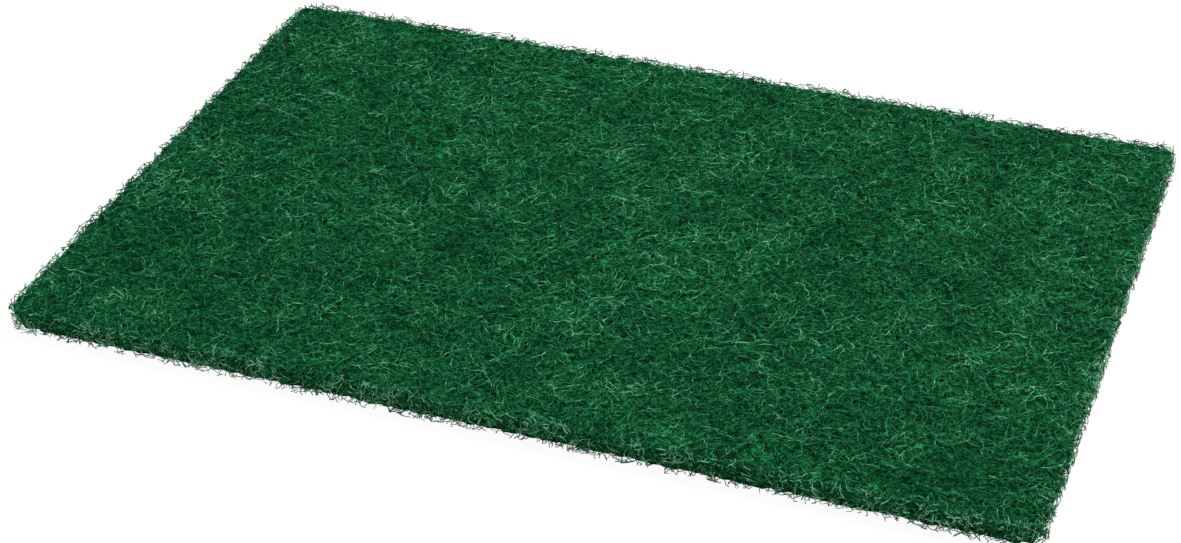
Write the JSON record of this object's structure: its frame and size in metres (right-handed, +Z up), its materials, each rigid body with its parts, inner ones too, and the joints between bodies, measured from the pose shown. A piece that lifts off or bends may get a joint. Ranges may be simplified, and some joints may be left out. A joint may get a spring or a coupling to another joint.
{
  "type": "scouring pad",
  "caption": "Flat rectangular scouring pad cut from a lofty non-woven fibre web with bonded grit, for scrubbing by hand.",
  "frame": {"origin": "middle of the flat underside, on the surface that the pad lies on", "axes": "+Z up through the thickness, +X along the long side, +Y along the short side"},
  "size_m": [0.23, 0.15, 0.0065],
  "materials": {
    "bonded_web": "matte crimped fibres in green grit-filled resin"
  },
  "bodies": {
    "root": {"scouring_pad": "bonded_web"}
  },
  "joints": []
}
